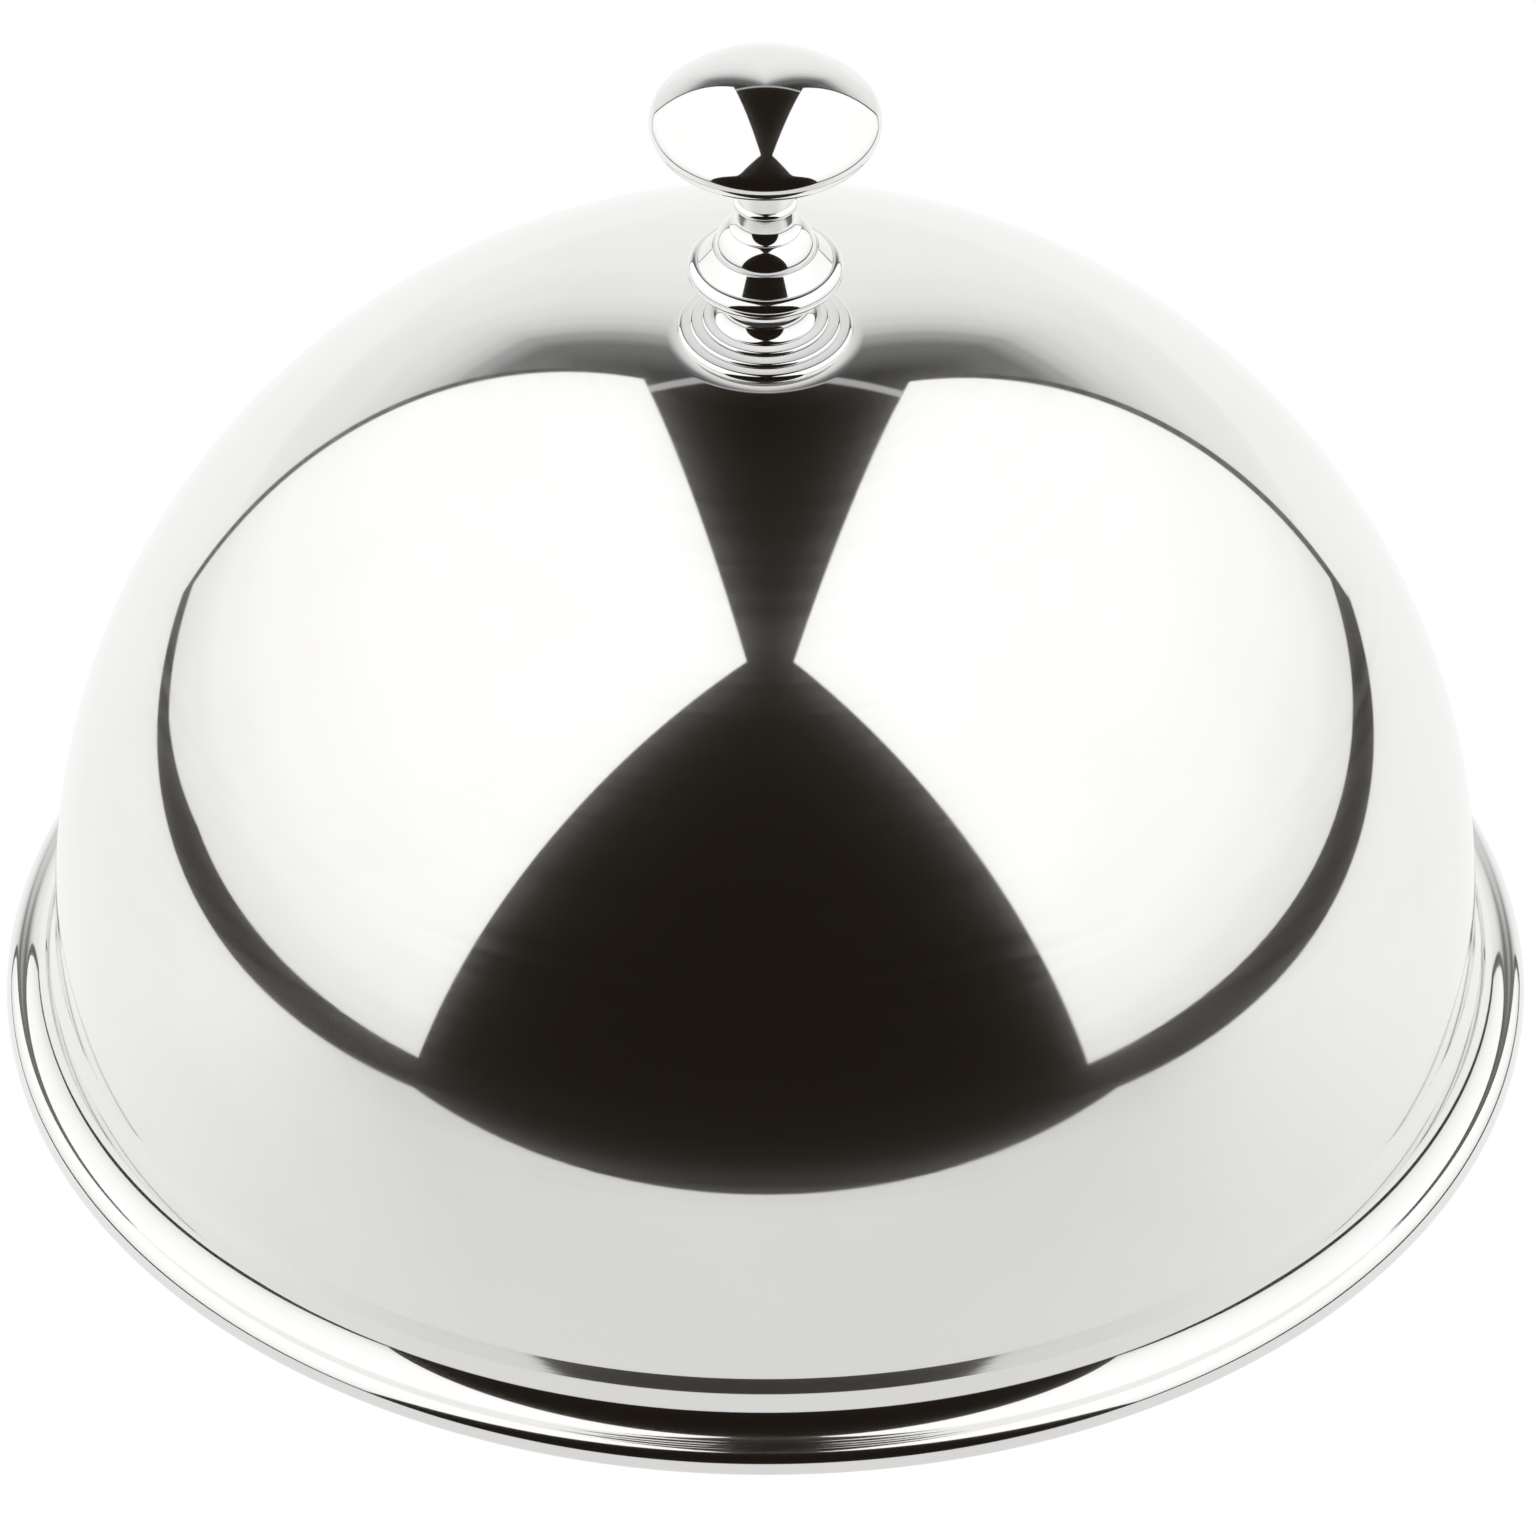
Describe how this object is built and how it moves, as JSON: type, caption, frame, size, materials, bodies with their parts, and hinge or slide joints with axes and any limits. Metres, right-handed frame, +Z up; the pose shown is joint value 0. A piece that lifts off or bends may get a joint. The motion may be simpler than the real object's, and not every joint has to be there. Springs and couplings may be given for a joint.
{
  "type": "food cover dome",
  "caption": "Round mirror-polished food cover dome with a stepped, moulded rim and a turned finial knob on its crown, set over a plate to keep food warm.",
  "frame": {"origin": "middle of the foot, in the plane that the rolled edge rests on", "axes": "+Z up the axis of the dome and finial, -Y towards the viewer of the picture, +X to that viewer's right"},
  "size_m": [0.2398, 0.2398, 0.1822],
  "materials": {
    "shell_steel": "mirror polished outside, satin inside",
    "finial_steel": "mirror polished",
    "wire_steel": "drawn wire",
    "seal_rubber": "matt silicone",
    "fastener_steel": "bright satin"
  },
  "bodies": {
    "dome": {"dome_shell": "shell_steel", "rim_wire": "wire_steel", "seal_washer": "seal_rubber"},
    "finial": {"base_rosette": "finial_steel", "spool": "finial_steel", "knop": "finial_steel", "neck_collar": "finial_steel", "knob_head": "finial_steel", "tie_stud": "fastener_steel"},
    "washers": {"inner_washer": "fastener_steel", "spring_washer": "fastener_steel"},
    "nut": {"cap_nut": "fastener_steel"}
  },
  "joints": [
    {"name": "finial_turn", "type": "hinge", "parent": "dome", "child": "finial", "pos_m": [0, 0, 0.1325], "axis": [0, 0, 1], "continuous": true},
    {"name": "washer_drop", "type": "slide", "parent": "finial", "child": "washers", "axis": [0, 0, -1], "range_m": [0, 0.004]},
    {"name": "nut_unscrew", "type": "hinge", "parent": "washers", "child": "nut", "pos_m": [0, 0, 0.1285], "axis": [0, 0, -1], "range_deg": [0, 1830]}
  ],
  "couplings": [
    {"joint": "nut_unscrew", "follows": "washer_drop", "rad_per_m": 7854}
  ]
}
